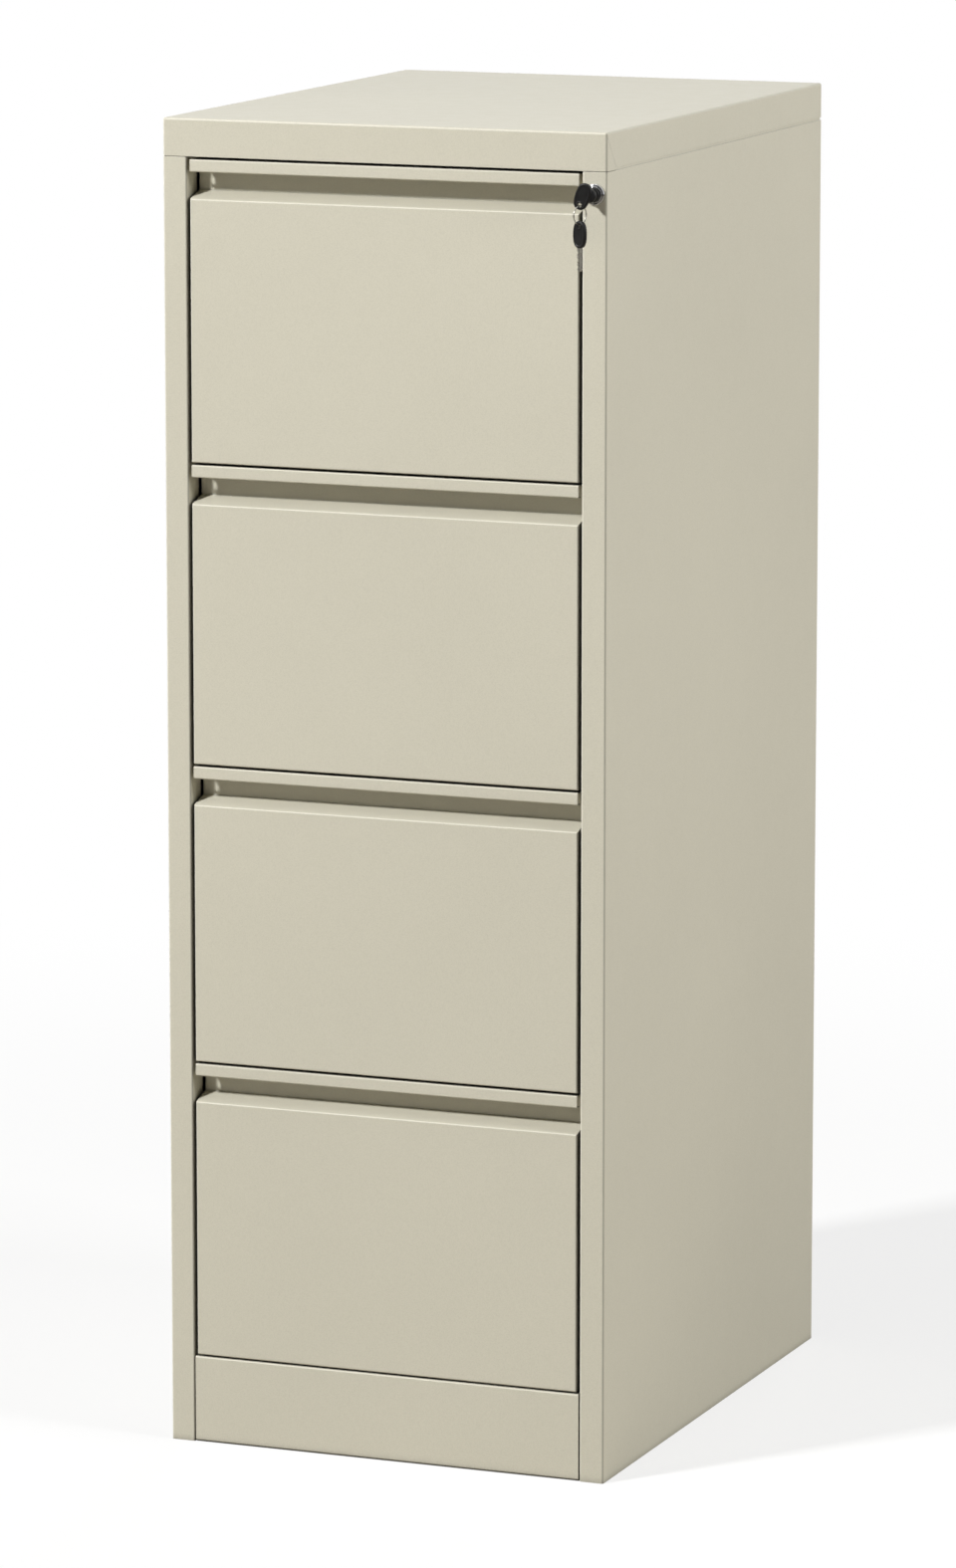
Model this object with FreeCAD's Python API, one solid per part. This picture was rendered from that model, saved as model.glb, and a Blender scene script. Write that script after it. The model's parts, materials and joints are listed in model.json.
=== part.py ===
import FreeCAD, Part
import math
import os

# A four-drawer vertical filing cabinet in folded sheet steel, with a cam lock that blocks all drawers.
# Millimetres. X runs to the right, Y to the back, Z up. The origin is on the floor, under the
# centre of the cabinet's body. Drawer 1 is the top one.

V = FreeCAD.Vector

# Cabinet body
WIDTH = 460.0
DEPTH = 620.0
SHEET = 0.8
BEND = 1.2
POST_WIDTH = 25.0
POST_RETURN = 24.0
BACK_RETURN = 15.0
CAP_FRONT_HEIGHT = 37.2
CAP_SIDE_STEP = 2.2
CAP_STEP_LENGTH = 25.0
CAP_STEP_CURVE = 1.8
CAP_EDGE_RADIUS = 2.2
CAP_SEAM = 0.5
SEAM_LINE_WIDTH = 0.35
SEAM_LINE_DEPTH = 0.2
SEAM_LINE_RISE = 29.0
COLLAR_LAP = 10.0
COLLAR_FLANGE = 15.0
PLINTH_HEIGHT = 86.8
PLINTH_SEAM = 1.0
PLINTH_FOLD = 22.0
PLINTH_LIP = 12.0
BASE_FLANGE = 20.0
BACK_PANEL_TOP_GAP = 18.0
TOP_RAIL_FOLD = 20.0

# Drawers
DRAWERS = 4
FRONT_HEIGHT = 296.0
PANEL_HEIGHT = 257.4
FRONT_GAP = 2.3
TOP_GAP = 2.5
PLINTH_GAP = 1.8
SIDE_GAP = 3.3
RECESS_DEPTH = 24.0
RECESS_RISE = 7.0
LIP_HEIGHT = 12.3
LIP_HEM = 7.0
PANEL_EDGE_RADIUS = 1.5
TRAY_LIFT = 14.0
TRAY_HEIGHT = 240.0
TRAY_HEM = 9.5
TRAY_HEM_DROP = 6.0
TRAY_BACK_FLANGE = 12.0
TRAY_BACK_GAP = 46.4
PANEL_FIT = 0.5

# Telescopic runners
RUNNER_HEIGHT = 45.0
RUNNER_WIDTH = 12.7
RUNNER_SHEET = 1.2
RUNNER_BEND = 1.0
RUNNER_PLAY = 0.4
RUNNER_RISE = 100.0
RUNNER_FRONT = 30.0
RUNNER_BACK_GAP = 38.4
OUTER_FLANGE = 10.0
MIDDLE_WEB_GAP = 0.5
MIDDLE_FLANGE = 9.2
INNER_FLANGE = 9.0
BUFFER_LENGTH = 5.5
BUFFER_PLAY = 0.5
BUFFER_HEIGHT = 30.0

# Uprights that carry the runners
UPRIGHT_INSET = 1.8
UPRIGHT_SHEET = 1.0
UPRIGHT_WIDTH = 40.0
UPRIGHT_FOOT = 10.0
UPRIGHT_FRONT = 44.0
UPRIGHT_BACK = 72.0
UPRIGHT_LIFT = 24.0
UPRIGHT_TOP_GAP = 22.0

# Screws
SCREW_RADIUS = 2.0
SCREW_HOLE_PLAY = 0.1
SCREW_HEAD_RADIUS = 3.8
SCREW_HEAD_HEIGHT = 2.2
SCREW_HEAD_ROUND = 1.1
SCREW_LENGTH = 7.0
SCREW_RECESS = 1.1
SCREW_SLOT = 0.9
BACK_SCREWS = 5
BACK_SCREW_MARGIN = 40.0
FRONT_SCREW_INSET = 40.0
FRONT_SCREW_MARGIN = 30.0
RUNNER_SCREW_MARGIN = 60.0

# Cam lock
LOCK_INSET = 12.2
LOCK_DROP = 59.0
BARREL_RADIUS = 8.0
BARREL_LENGTH = 20.0
BARREL_HOLE_PLAY = 0.1
RING_RADIUS = 10.2
RING_HEIGHT = 3.0
RING_EDGE = 1.2
PLUG_RADIUS = 6.0
PLUG_PLAY = 0.05
PLUG_SINK = 0.6
PLUG_TAIL = 1.5
NUT_RADIUS = 11.0
NUT_HEIGHT = 3.5
NUT_FLATS = 6
CRANK_SHEET = 1.6
CRANK_RADIUS = 8.0
CRANK_HUB = 5.8
CRANK_END = 2.6
CRANK_PIN_RADIUS = 2.0
CRANK_REST_ANGLE = -45.0
CRANK_SCREW_RADIUS = 1.5
CRANK_SCREW_HEAD = 2.8
CRANK_SCREW_HEAD_HEIGHT = 1.5
CRANK_SCREW_LENGTH = 4.5

# Lock bar, its guides and the catches on the drawers
BAR_SHEET = 1.5
BAR_WIDTH = 18.5
BAR_SIDE_GAP = 1.7
BAR_BACK_STEP = 1.5
BAR_NOTCH_PLAY = 0.5
BAR_NOTCH_DEPTH = 5.5
BAR_TOP = 12.0
BAR_TAB_REACH = 8.0
BAR_TAB_HEIGHT = 8.0
BAR_TAB_DROP = 6.5
CATCH_RISE = 200.0
CATCH_HEIGHT = 10.0
CATCH_GAP = 1.0
CATCH_SHEET = 1.2
CATCH_SIDE_GAP = 2.0
CATCH_FOOT = 16.0
GUIDE_HEIGHT = 18.0
GUIDE_WALL = 3.0
GUIDE_PLAY = 0.4
GUIDE_TAB_GAP = 7.9

# Keys
BLADE_WIDTH = 6.0
BLADE_SHEET = 2.0
BLADE_LENGTH = 22.0
BLADE_IN_PLUG = 17.5
BLADE_PLAY = 0.2
BLADE_ROOT = 5.0
BLADE_NOTCH = 1.2
BLADE_NOTCH_TURN = 45.0
BLADE_CUTS = 3
BOW_LENGTH = 26.0
BOW_WIDTH = 15.0
BOW_SHEET = 4.5
BOW_EDGE = 1.4
BOW_HOLE_RADIUS = 2.2
BOW_HOLE_OFFSET = 8.5
BOW_LEAN = 18.0
BOW_SIDE_SHIFT = 4.7
BOW_RISE = -0.3
NECK_RADIUS = 6.9
NECK_START = 4.0
NECK_END = 18.0
RING_WIRE_RADIUS = 0.6
RING_LOOP_RADIUS = 9.0
RING_TURN = 20.0
KEY_HANG = 0.7
SPARE_HANG = 0.9

# Sizes that follow from the ones above
HALF_W = WIDTH / 2
FRONT_Y = -DEPTH / 2
BACK_Y = DEPTH / 2
OPENING_X = HALF_W - POST_WIDTH
FRONT_X = OPENING_X - SIDE_GAP
UPRIGHT_X = OPENING_X - UPRIGHT_INSET
TRAY_X = UPRIGHT_X - RUNNER_WIDTH
SIDE_IN = HALF_W - SHEET
PLINTH_BOTTOM = SHEET
PLINTH_TOP = PLINTH_BOTTOM + PLINTH_HEIGHT
DRAWER_PITCH = FRONT_HEIGHT + FRONT_GAP
STACK_TOP = PLINTH_TOP + PLINTH_GAP + DRAWERS * FRONT_HEIGHT + (DRAWERS - 1) * FRONT_GAP
CAP_BOTTOM = STACK_TOP + TOP_GAP
HEIGHT = CAP_BOTTOM + CAP_FRONT_HEIGHT
BODY_TOP = CAP_BOTTOM - CAP_SEAM
RECESS_Y = FRONT_Y + RECESS_DEPTH
FRONT_BACK_Y = RECESS_Y + SHEET
TRAY_FRONT_Y = FRONT_BACK_Y + SHEET
TRAY_BACK_Y = BACK_Y - SHEET - TRAY_BACK_GAP
RUNNER_START = FRONT_Y + RUNNER_FRONT
RUNNER_END = BACK_Y - SHEET - RUNNER_BACK_GAP
LOCK_X = HALF_W - LOCK_INSET
LOCK_Z = HEIGHT - LOCK_DROP
RING_FRONT_Y = FRONT_Y - RING_HEIGHT
PLUG_FRONT_Y = RING_FRONT_Y + PLUG_SINK
PLUG_BACK_Y = FRONT_Y + BARREL_LENGTH + PLUG_TAIL
CRANK_BACK_Y = PLUG_BACK_Y + CRANK_SHEET
BAR_FRONT_Y = FRONT_Y + POST_RETURN + BAR_BACK_STEP
BAR_BACK_Y = BAR_FRONT_Y + BAR_SHEET
BAR_LEFT = OPENING_X + SHEET + BAR_SIDE_GAP
BAR_RIGHT = BAR_LEFT + BAR_WIDTH
BAR_LIFT = 2 * CRANK_RADIUS * math.sin(math.radians(-CRANK_REST_ANGLE))
SCREW_HOLE = SCREW_RADIUS + SCREW_HOLE_PLAY
RAIL_END = RUNNER_END - BUFFER_LENGTH - BUFFER_PLAY
BOW_Y = FRONT_Y - NECK_END - BOW_SHEET / 2
BOW_X = LOCK_X - BOW_SIDE_SHIFT
BOW_Z = LOCK_Z + BOW_RISE
HOLE_X = BOW_X - BOW_HOLE_OFFSET * math.sin(math.radians(BOW_LEAN))
HOLE_Z = BOW_Z - BOW_HOLE_OFFSET * math.cos(math.radians(BOW_LEAN))
WIRE_TOP_Z = HOLE_Z - KEY_HANG
WIRE_LOW_Z = WIRE_TOP_Z - 2 * RING_LOOP_RADIUS
SPARE_HOLE_Z = WIRE_LOW_Z - SPARE_HANG


def drawer_bottom(number):
    """Height of the lower edge of a drawer front; drawer 1 is the top one."""
    return STACK_TOP - FRONT_HEIGHT - (number - 1) * DRAWER_PITCH


def block(x0, x1, y0, y1, z0, z1):
    return Part.makeBox(x1 - x0, y1 - y0, z1 - z0, V(x0, y0, z0))


def rod(x, y, z, radius, length, direction=V(0, 1, 0)):
    return Part.makeCylinder(radius, length, V(x, y, z), direction)


def mirrored(shape):
    """The same piece on the other side of the cabinet."""
    return shape.mirror(V(0, 0, 0), V(1, 0, 0))


def one_solid(shape):
    """The single clean solid in a boolean's result."""
    return shape.removeSplitter().Solids[0]


def right_of(a, b):
    """Unit vector to the right of the way from a to b."""
    length = math.hypot(b[0] - a[0], b[1] - a[1])
    return (b[1] - a[1]) / length, -(b[0] - a[0]) / length


def offset_right(path, distance):
    """The open path moved to its right by a distance, with its corners kept sharp."""
    moved = []
    last = len(path) - 1
    for i, (u, v) in enumerate(path):
        before = right_of(path[i - 1], path[i]) if i > 0 else right_of(path[0], path[1])
        after = right_of(path[i], path[i + 1]) if i < last else before
        scale = distance / (1 + before[0] * after[0] + before[1] * after[1])
        moved.append((u + scale * (before[0] + after[0]), v + scale * (before[1] + after[1])))
    return moved


def rounded_edges(path, radii, place):
    """Edges along an open path, with an arc at each corner that has a radius."""
    edges = []
    at = path[0]
    for i in range(1, len(path) - 1):
        r_in = right_of(path[i - 1], path[i])
        r_out = right_of(path[i], path[i + 1])
        turn = math.acos(max(-1.0, min(1.0, r_in[0] * r_out[0] + r_in[1] * r_out[1])))
        side = 1 if r_in[0] * r_out[1] - r_in[1] * r_out[0] < 0 else -1
        reach = radii[i] * math.tan(turn / 2)
        start = (path[i][0] + r_in[1] * reach, path[i][1] - r_in[0] * reach)
        end = (path[i][0] - r_out[1] * reach, path[i][1] + r_out[0] * reach)
        half = math.hypot(r_in[0] + r_out[0], r_in[1] + r_out[1])
        toward = (side * (r_in[0] + r_out[0]) / half, side * (r_in[1] + r_out[1]) / half)
        bulge = radii[i] / math.cos(turn / 2) - radii[i]
        middle = (path[i][0] + toward[0] * bulge, path[i][1] + toward[1] * bulge)
        edges.append(Part.LineSegment(place(at), place(start)).toShape())
        edges.append(Part.Arc(place(start), place(middle), place(end)).toShape())
        at = end
    edges.append(Part.LineSegment(place(at), place(path[-1])).toShape())
    return edges


def folded(path, sheet, bend, plane, start, length):
    """A bent sheet. The path is one of its faces, and the sheet lies to the path's right."""
    place = {
        "xy": lambda p: V(p[0], p[1], start),
        "xz": lambda p: V(p[0], start, p[1]),
        "yz": lambda p: V(start, p[0], p[1]),
    }[plane]
    along = {"xy": V(0, 0, length), "xz": V(0, length, 0), "yz": V(length, 0, 0)}[plane]
    other = offset_right(path, sheet)
    on_path, on_other = [0.0] * len(path), [0.0] * len(path)
    for i in range(1, len(path) - 1):
        r_in = right_of(path[i - 1], path[i])
        r_out = right_of(path[i], path[i + 1])
        turns_right = r_in[0] * r_out[1] - r_in[1] * r_out[0] < 0
        on_path[i] = bend + sheet if turns_right else bend
        on_other[i] = bend if turns_right else bend + sheet
    edges = rounded_edges(path, on_path, place)
    edges.append(Part.LineSegment(place(path[-1]), place(other[-1])).toShape())
    edges += rounded_edges(other[::-1], on_other[::-1], place)
    edges.append(Part.LineSegment(place(other[0]), place(path[0])).toShape())
    wire = Part.Wire(Part.__sortEdges__(edges))
    return Part.Face(wire).extrude(along)


def edges_where(shape, test):
    return [edge for edge in shape.Edges if test(edge.BoundBox)]


def near(a, b):
    return abs(a - b) < 1e-3


def screw(x, y, z, direction):
    """Pan-head screw. Its head rests on the plane through the point, its shank goes along direction."""
    head = rod(x, y, z, SCREW_HEAD_RADIUS, SCREW_HEAD_HEIGHT, direction * -1)
    crown = max(head.Faces, key=lambda f: (f.CenterOfMass - V(x, y, z)).dot(direction * -1))
    head = head.makeFillet(SCREW_HEAD_ROUND, crown.Edges)
    middle = V(x, y, z) - direction * (SCREW_HEAD_HEIGHT - SCREW_RECESS / 2)
    for turn in (0, 90):
        arm = Part.makeBox(
            SCREW_HEAD_RADIUS, SCREW_SLOT, SCREW_RECESS,
            V(-SCREW_HEAD_RADIUS / 2, -SCREW_SLOT / 2, -SCREW_RECESS / 2),
        )
        arm.rotate(V(0, 0, 0), V(0, 0, 1), turn)
        arm.Placement = FreeCAD.Placement(middle, FreeCAD.Rotation(V(0, 0, 1), direction)) * arm.Placement
        head = head.cut(arm)
    return one_solid(head.fuse(rod(x, y, z, SCREW_RADIUS, SCREW_LENGTH, direction)))


def top_cover():
    """Lid with flanges down its four sides; the side and back flanges are a little shorter."""
    side_bottom = CAP_BOTTOM + CAP_SIDE_STEP
    lid = block(-HALF_W, HALF_W, FRONT_Y, BACK_Y, CAP_BOTTOM, HEIGHT)
    lid = lid.makeFillet(CAP_EDGE_RADIUS, edges_where(
        lid, lambda b: near(b.ZMin, HEIGHT) or b.ZLength > CAP_FRONT_HEIGHT / 2))
    hollow = block(-SIDE_IN, SIDE_IN, FRONT_Y + SHEET, BACK_Y - SHEET, CAP_BOTTOM, HEIGHT - SHEET)
    hollow = hollow.makeFillet(CAP_EDGE_RADIUS - SHEET, edges_where(
        hollow, lambda b: near(b.ZMin, HEIGHT - SHEET) or b.ZLength > CAP_FRONT_HEIGHT / 2))
    lid = lid.cut(hollow)
    step_y = FRONT_Y + CAP_STEP_LENGTH
    trim = block(-WIDTH, WIDTH, step_y, BACK_Y + SHEET, CAP_BOTTOM - SHEET, side_bottom)
    trim = trim.makeFillet(CAP_STEP_CURVE, edges_where(
        trim, lambda b: near(b.YMax, step_y) and near(b.ZMin, side_bottom) and b.XLength > WIDTH))
    lid = lid.cut(trim)
    for side in (-1, 1):
        seam = Part.makeBox(
            2 * SEAM_LINE_DEPTH, SEAM_LINE_WIDTH, math.hypot(CAP_STEP_LENGTH, SEAM_LINE_RISE),
            V(side * HALF_W - SEAM_LINE_DEPTH, step_y, side_bottom),
        )
        tilt = math.degrees(math.atan2(CAP_STEP_LENGTH - CAP_EDGE_RADIUS, SEAM_LINE_RISE))
        seam.rotate(V(0, step_y, side_bottom), V(1, 0, 0), tilt)
        lid = lid.cut(seam)
    return one_solid(lid)


def side_panel():
    """The right side: post and its return at the front, back return, and the collar under the lid."""
    plan = [
        (HALF_W - BACK_RETURN, BACK_Y),
        (HALF_W, BACK_Y),
        (HALF_W, FRONT_Y),
        (OPENING_X, FRONT_Y),
        (OPENING_X, FRONT_Y + POST_RETURN),
    ]
    panel = folded(plan, SHEET, BEND, "xy", 0.0, BODY_TOP)
    collar_front = FRONT_Y + POST_RETURN
    collar_back = BACK_Y - SHEET - CAP_EDGE_RADIUS
    collar = folded(
        [
            (SIDE_IN - COLLAR_FLANGE, HEIGHT - SHEET),
            (SIDE_IN, HEIGHT - SHEET),
            (SIDE_IN, BODY_TOP - COLLAR_LAP),
        ],
        SHEET, BEND, "xz", collar_front, collar_back - collar_front)
    return panel.fuse(collar)


def right_side_panel():
    """The right side has the lock's hole in its post."""
    hole = rod(LOCK_X, FRONT_Y - SHEET, LOCK_Z, BARREL_RADIUS + BARREL_HOLE_PLAY, 3 * SHEET)
    return with_back_holes(side_panel().cut(hole), 1)


def left_side_panel():
    return with_back_holes(mirrored(side_panel()), -1)


def back_screw_places(side):
    x = side * (HALF_W - BACK_RETURN / 2)
    span = BODY_TOP - 2 * BACK_SCREW_MARGIN
    return [(x, BACK_SCREW_MARGIN + span * i / (BACK_SCREWS - 1)) for i in range(BACK_SCREWS)]


def with_back_holes(shape, side):
    for x, z in back_screw_places(side):
        shape = shape.cut(rod(x, BACK_Y - 3 * SHEET, z, SCREW_HOLE, 4 * SHEET))
    return one_solid(shape)


def back_panel():
    half = SIDE_IN - CAP_EDGE_RADIUS
    panel = block(-half, half, BACK_Y - 2 * SHEET, BACK_Y - SHEET, 0.0, HEIGHT - BACK_PANEL_TOP_GAP)
    for side in (-1, 1):
        panel = with_back_holes(panel, side)
    return panel


def panel_screws():
    screws = []
    for side in (-1, 1):
        for x, z in back_screw_places(side):
            screws.append(screw(x, BACK_Y, z, V(0, -1, 0)))
    return Part.makeCompound(screws)


def base_pan():
    """Bottom plate on the floor, with flanges up the sides and the back."""
    rear = BACK_Y - 2 * SHEET
    step = FRONT_Y + POST_RETURN + PLINTH_SEAM
    pan = folded(
        [(SIDE_IN, BASE_FLANGE), (SIDE_IN, 0.0), (-SIDE_IN, 0.0), (-SIDE_IN, BASE_FLANGE)],
        SHEET, BEND, "xz", step, rear - step)
    tongue = OPENING_X - PLINTH_SEAM
    pan = pan.fuse(block(-tongue, tongue, FRONT_Y + SHEET + BEND, step, 0.0, SHEET))
    inner = SIDE_IN - SHEET - BEND
    pan = pan.fuse(block(-inner, inner, rear - SHEET, rear, 0.0, BASE_FLANGE))
    for side in (-1, 1):
        edge = side * (SIDE_IN - SHEET / 2)
        pan = pan.cut(block(edge - SHEET, edge + SHEET, BACK_Y - SHEET - CAP_EDGE_RADIUS, BACK_Y,
                            -SHEET, BASE_FLANGE + SHEET))
    return one_solid(pan)


def plinth():
    """Kick plate between the posts, folded back at its top, its bottom and its ends."""
    half = OPENING_X - PLINTH_SEAM
    plate = folded(
        [
            (FRONT_Y + PLINTH_LIP, PLINTH_BOTTOM),
            (FRONT_Y, PLINTH_BOTTOM),
            (FRONT_Y, PLINTH_TOP),
            (FRONT_Y + PLINTH_FOLD, PLINTH_TOP),
            (FRONT_Y + PLINTH_FOLD, PLINTH_TOP - PLINTH_LIP),
        ],
        SHEET, BEND, "yz", -half, 2 * half)
    for side in (-1, 1):
        inner = side * (half - SHEET)
        end = block(min(inner, side * half), max(inner, side * half),
                    FRONT_Y + SHEET, FRONT_Y + PLINTH_LIP, PLINTH_BOTTOM + SHEET, PLINTH_TOP - SHEET)
        plate = plate.fuse(end)
    return one_solid(plate)


def top_front_rail():
    """Angle behind the lid's front flange, above the top drawer."""
    half = OPENING_X - PLINTH_SEAM
    front = FRONT_Y + SHEET
    return folded(
        [
            (front, HEIGHT - SHEET - CAP_EDGE_RADIUS),
            (front, CAP_BOTTOM + 2 * SHEET),
            (front + TOP_RAIL_FOLD, CAP_BOTTOM + 2 * SHEET),
            (front + TOP_RAIL_FOLD, CAP_BOTTOM + TOP_RAIL_FOLD),
        ][::-1],
        SHEET, BEND, "yz", -half, 2 * half)


def uprights():
    """Hat sections on the right side panel, one near the front and one near the back."""
    both = []
    foot_x = SIDE_IN - UPRIGHT_SHEET
    top = BODY_TOP - UPRIGHT_TOP_GAP
    for y in (FRONT_Y + UPRIGHT_FRONT, BACK_Y - UPRIGHT_BACK - UPRIGHT_WIDTH):
        path = [
            (foot_x, y - UPRIGHT_FOOT),
            (foot_x, y),
            (UPRIGHT_X, y),
            (UPRIGHT_X, y + UPRIGHT_WIDTH),
            (foot_x, y + UPRIGHT_WIDTH),
            (foot_x, y + UPRIGHT_WIDTH + UPRIGHT_FOOT),
        ]
        both.append(folded(path, UPRIGHT_SHEET, RUNNER_BEND, "xy", UPRIGHT_LIFT, top - UPRIGHT_LIFT))
    return Part.makeCompound(both)


def drawer_front(number):
    """Folded front: panel with its edges turned back, and a full-width pull recess under a lip."""
    low = drawer_bottom(number)
    panel_top = low + PANEL_HEIGHT
    recess_low = panel_top + RECESS_RISE
    outline = [(FRONT_Y, low), (FRONT_Y, panel_top), (RECESS_Y, recess_low), (RECESS_Y, low)]
    pan = prism_yz(outline, -FRONT_X, FRONT_X)
    pan = pan.makeFillet(PANEL_EDGE_RADIUS, edges_where(pan, lambda b: near(b.YMax, FRONT_Y)))
    inner = [
        (FRONT_Y + SHEET, low + SHEET),
        (FRONT_Y + SHEET, panel_top - SHEET),
        (RECESS_Y + SHEET, recess_low - SHEET + RECESS_RISE * SHEET / RECESS_DEPTH),
        (RECESS_Y + SHEET, low + SHEET),
    ]
    pan = pan.cut(prism_yz(inner, -FRONT_X + SHEET, FRONT_X - SHEET))
    recess = folded(
        [
            (RECESS_Y, panel_top - RECESS_RISE),
            (RECESS_Y, low + FRONT_HEIGHT - SHEET),
            (FRONT_Y + SHEET, low + FRONT_HEIGHT - SHEET),
            (FRONT_Y + SHEET, low + FRONT_HEIGHT - LIP_HEIGHT + SHEET),
            (FRONT_Y + LIP_HEM, low + FRONT_HEIGHT - LIP_HEIGHT + SHEET),
        ],
        SHEET, PANEL_EDGE_RADIUS - SHEET, "yz", -FRONT_X, 2 * FRONT_X)
    return one_solid(pan.fuse(recess))


def prism_yz(points, x0, x1):
    corners = [V(x0, y, z) for y, z in points]
    return Part.Face(Part.makePolygon(corners + corners[:1])).extrude(V(x1 - x0, 0, 0))


def front_screw_places(number):
    low = drawer_bottom(number) + TRAY_LIFT
    return [
        (x, z)
        for x in (-TRAY_X + FRONT_SCREW_INSET, TRAY_X - FRONT_SCREW_INSET)
        for z in (low + FRONT_SCREW_MARGIN, low + TRAY_HEIGHT - FRONT_SCREW_MARGIN)
    ]


def with_front_holes(shape, number):
    for x, z in front_screw_places(number):
        shape = shape.cut(rod(x, RECESS_Y - SHEET, z, SCREW_HOLE, 4 * SHEET))
    return one_solid(shape)


def drawer_inner_panel(number):
    """Plate that closes the back of the front."""
    low = drawer_bottom(number)
    plate = block(-FRONT_X, FRONT_X, RECESS_Y, FRONT_BACK_Y,
                  low + PANEL_FIT, low + PANEL_HEIGHT - RECESS_RISE - PANEL_FIT)
    return with_front_holes(plate, number)


def runner_centre(number):
    return drawer_bottom(number) + TRAY_LIFT + RUNNER_RISE


def runner_screw_places(number):
    z = runner_centre(number)
    return [(RUNNER_START + RUNNER_SCREW_MARGIN, z), (TRAY_BACK_Y - RUNNER_SCREW_MARGIN, z)]


def tray_side(number):
    """Right wall of a tray: its rolled rim carries hanging files, its foot goes under the bottom."""
    low = drawer_bottom(number) + TRAY_LIFT
    top = low + TRAY_HEIGHT
    rim = TRAY_X - TRAY_HEM
    wall = folded(
        [(rim, top - TRAY_HEM_DROP), (rim, top), (TRAY_X, top), (TRAY_X, low), (rim, low)],
        SHEET, BEND, "xz", TRAY_FRONT_Y, TRAY_BACK_Y - TRAY_FRONT_Y)
    for y, z in runner_screw_places(number):
        wall = wall.cut(rod(TRAY_X - 2 * SHEET, y, z, SCREW_HOLE, 4 * SHEET, V(1, 0, 0)))
    return one_solid(wall)


def drawer_tray(number):
    """Welded tray: front wall, bottom and two side walls."""
    low = drawer_bottom(number) + TRAY_LIFT
    half = TRAY_X - SHEET - BEND
    front = block(-TRAY_X, TRAY_X, FRONT_BACK_Y, TRAY_FRONT_Y, low, low + TRAY_HEIGHT)
    bottom = block(-half, half, TRAY_FRONT_Y, TRAY_BACK_Y, low + SHEET, low + 2 * SHEET)
    return Part.makeCompound([with_front_holes(front, number), bottom, *pair(tray_side(number)).Solids])


def drawer_catch(number):
    """Welded angle on the tray's right side that the lock bar stops."""
    z = drawer_bottom(number) + CATCH_RISE
    y = BAR_BACK_Y + CATCH_GAP
    return folded(
        [(OPENING_X - CATCH_SIDE_GAP, y), (TRAY_X, y), (TRAY_X, y + CATCH_FOOT)],
        CATCH_SHEET, BEND, "xy", z - CATCH_HEIGHT / 2, CATCH_HEIGHT)


def drawer_back(number):
    low = drawer_bottom(number) + TRAY_LIFT + SHEET + BEND
    top = drawer_bottom(number) + TRAY_LIFT + TRAY_HEIGHT - TRAY_HEM_DROP - SHEET
    half = TRAY_X - SHEET
    return folded(
        [
            (half, TRAY_BACK_Y - TRAY_BACK_FLANGE), (half, TRAY_BACK_Y),
            (-half, TRAY_BACK_Y), (-half, TRAY_BACK_Y - TRAY_BACK_FLANGE),
        ][::-1],
        SHEET, BEND, "xy", low, top - low)


def drawer_screws(number):
    screws = [screw(x, TRAY_FRONT_Y, z, V(0, -1, 0)) for x, z in front_screw_places(number)]
    for side in (-1, 1):
        for y, z in runner_screw_places(number):
            screws.append(runner_screw(side, y, z))
    return Part.makeCompound(screws)


def runner_screw(side, y, z):
    """Short screw from inside the tray into the runner's inner rail."""
    whole = screw(side * (TRAY_X - SHEET), y, z, V(side, 0, 0))
    end = side * (TRAY_X + RUNNER_SHEET)
    spare = block(min(end, side * WIDTH), max(end, side * WIDTH), y - SCREW_HEAD_RADIUS,
                  y + SCREW_HEAD_RADIUS, z - SCREW_HEAD_RADIUS, z + SCREW_HEAD_RADIUS)
    return one_solid(whole.cut(spare))


def channel(web_x, mouth_x, half_height, number, start, end):
    """Rail of a runner: a channel with its web at web_x and its flanges out to mouth_x."""
    z = runner_centre(number)
    path = [
        (mouth_x, z + half_height), (web_x, z + half_height),
        (web_x, z - half_height), (mouth_x, z - half_height),
    ]
    if mouth_x < web_x:
        path = path[::-1]
    return folded(path[::-1], RUNNER_SHEET, RUNNER_BEND, "xz", start, end - start)


def pair(shape):
    return Part.makeCompound([mirrored(shape), shape])


def runner_outer(number):
    mouth = UPRIGHT_X - OUTER_FLANGE
    return pair(channel(UPRIGHT_X, mouth, RUNNER_HEIGHT / 2, number, RUNNER_START, RUNNER_END))


def runner_middle(number):
    web = UPRIGHT_X - RUNNER_SHEET - MIDDLE_WEB_GAP
    half = RUNNER_HEIGHT / 2 - RUNNER_SHEET - RUNNER_PLAY
    return pair(channel(web, web - MIDDLE_FLANGE, half, number, RUNNER_START, RAIL_END))


def runner_inner(number):
    half = RUNNER_HEIGHT / 2 - 2 * (RUNNER_SHEET + RUNNER_PLAY)
    rail = channel(TRAY_X, TRAY_X + INNER_FLANGE, half, number, RUNNER_START, RAIL_END)
    for y, z in runner_screw_places(number):
        rail = rail.cut(rod(TRAY_X - SHEET, y, z, SCREW_HOLE, 3 * SHEET, V(1, 0, 0)))
    return pair(one_solid(rail))


def runner_buffers():
    """Rubber blocks at the back of each runner, which the rails close against."""
    blocks = []
    for number in range(1, DRAWERS + 1):
        z = runner_centre(number)
        x = UPRIGHT_X - RUNNER_SHEET
        rubber = block(x - OUTER_FLANGE + RUNNER_SHEET, x, RUNNER_END - BUFFER_LENGTH, RUNNER_END,
                       z - BUFFER_HEIGHT / 2, z + BUFFER_HEIGHT / 2)
        blocks += [mirrored(rubber), rubber]
    return Part.makeCompound(blocks)


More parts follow.
